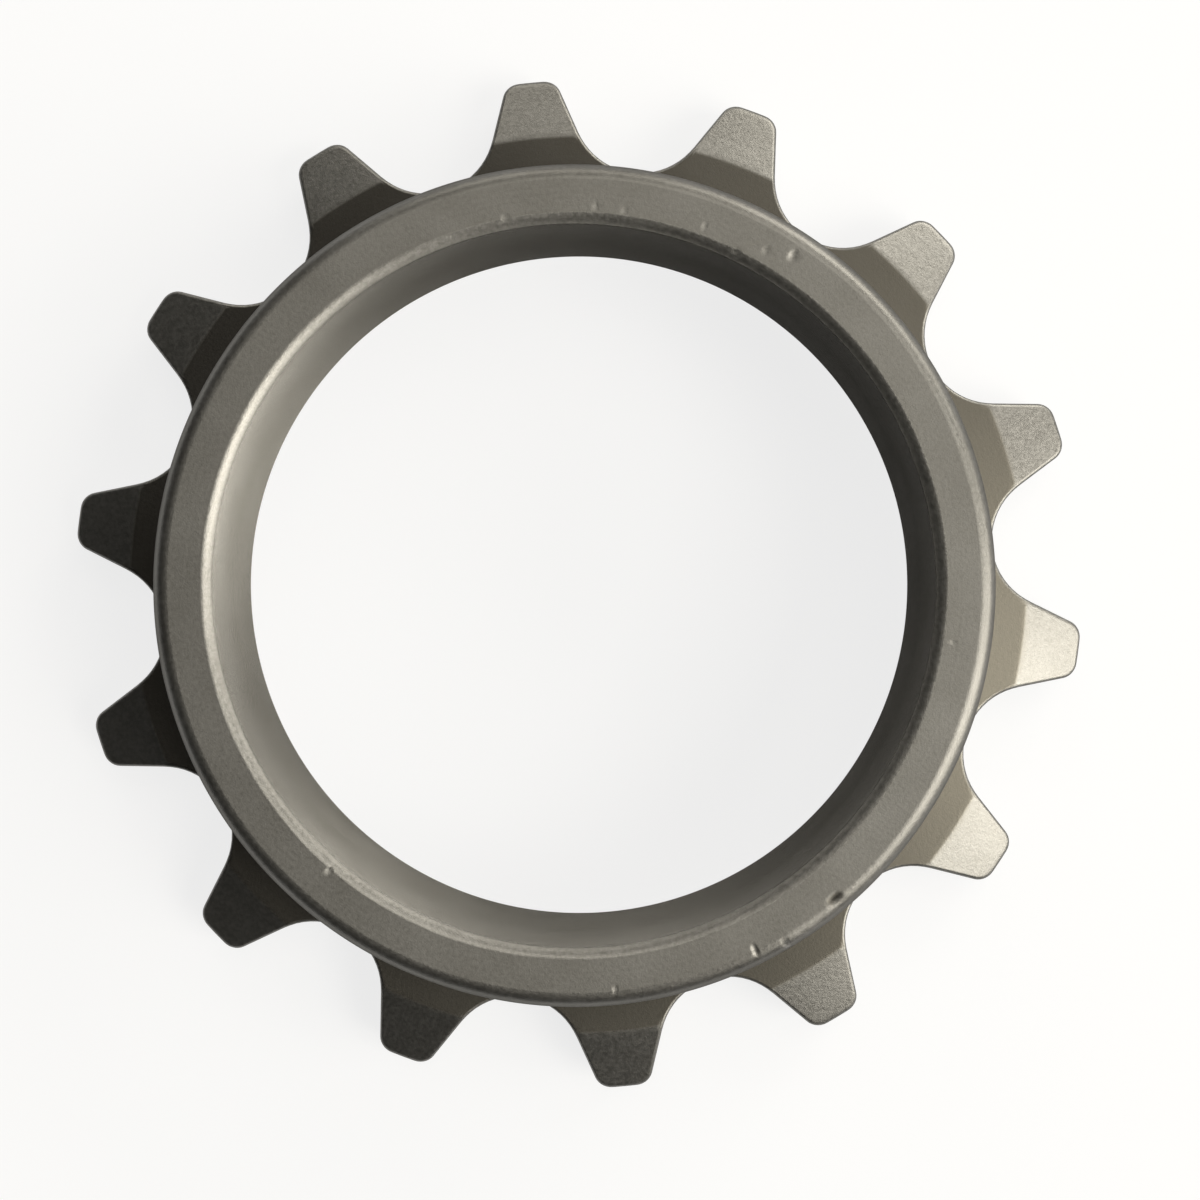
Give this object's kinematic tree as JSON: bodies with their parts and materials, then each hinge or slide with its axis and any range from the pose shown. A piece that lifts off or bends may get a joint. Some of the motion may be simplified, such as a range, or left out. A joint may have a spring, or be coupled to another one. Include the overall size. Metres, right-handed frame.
{
  "type": "camshaft sprocket",
  "caption": "One-piece steel ring sprocket with bevelled roller-chain teeth, a plain collar on one side and a straight through bore for a camshaft.",
  "frame": {"origin": "centre of the bore on the flat back face of the toothed flange", "axes": "+Z along the bore axis, from the toothed flange towards the collar; +X through the middle of a tooth space"},
  "size_m": [0.037, 0.0378, 0.01],
  "materials": {
    "steel": "matt grey machined steel"
  },
  "bodies": {
    "root": {"sprocket": "steel"}
  },
  "joints": []
}
